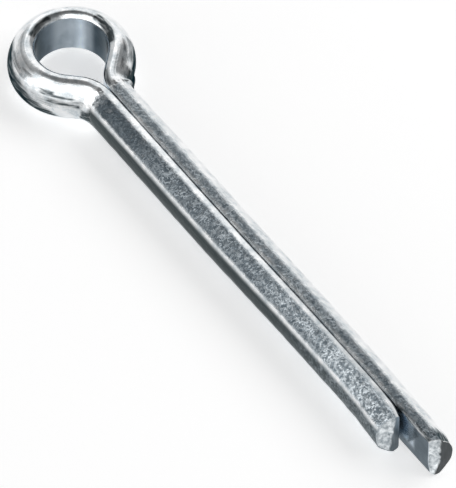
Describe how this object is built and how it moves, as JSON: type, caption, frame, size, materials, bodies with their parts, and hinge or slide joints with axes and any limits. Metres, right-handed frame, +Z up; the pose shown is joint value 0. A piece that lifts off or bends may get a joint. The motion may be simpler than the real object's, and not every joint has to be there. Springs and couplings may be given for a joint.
{
  "type": "cotter pin",
  "caption": "Split cotter pin of folded half-round wire, with a round eye and close straight legs of unequal length, pushed through a cross hole and spread to lock it.",
  "frame": {"origin": "middle of the hole in the eye, halfway through the wire's width", "axes": "+X runs from the eye along the shank to the tips, +Y points across the split to the long leg's side, +Z runs along the hole of the eye; the pin lies flat with +Z up"},
  "size_m": [0.0692, 0.0132, 0.0056],
  "materials": {
    "zinc_plated_steel": "bright zinc plate over drawn and pressed steel wire"
  },
  "bodies": {
    "root": {"cotter_pin": "zinc_plated_steel"}
  },
  "joints": []
}
